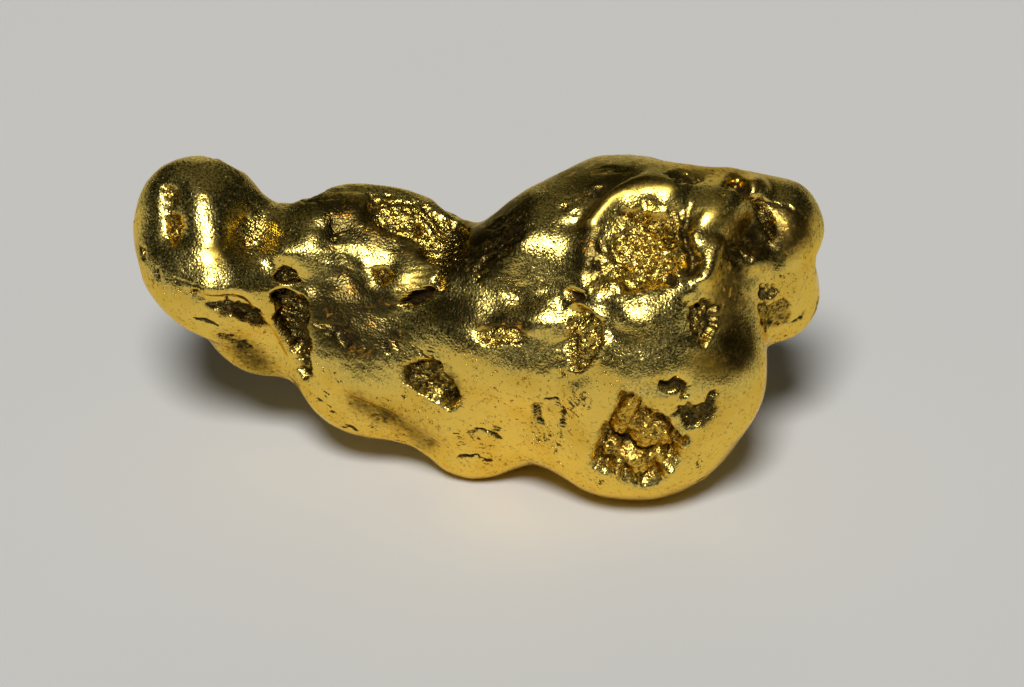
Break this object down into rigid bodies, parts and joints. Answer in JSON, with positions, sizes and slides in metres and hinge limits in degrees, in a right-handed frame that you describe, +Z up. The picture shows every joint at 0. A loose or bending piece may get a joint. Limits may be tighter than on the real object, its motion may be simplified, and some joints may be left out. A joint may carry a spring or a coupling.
{
  "type": "gold nugget",
  "caption": "Water-worn lump of native gold: a heavy boulder at one end, a saddle, a middle lump and an arm with a knob. It rests on three worn feet.",
  "frame": {"origin": "on the plane that the three worn feet share, under the middle of the nugget's box", "axes": "+X along the nugget from the arm's knob to the boulder, +Z up from the feet, +Y from the pitted front to the back"},
  "size_m": [0.0344, 0.0138, 0.0168],
  "materials": {
    "gold": "natural gold, river-polished on its rises, rough and dirty in its pits"
  },
  "bodies": {
    "root": {"gold_nugget": "gold"}
  },
  "joints": []
}
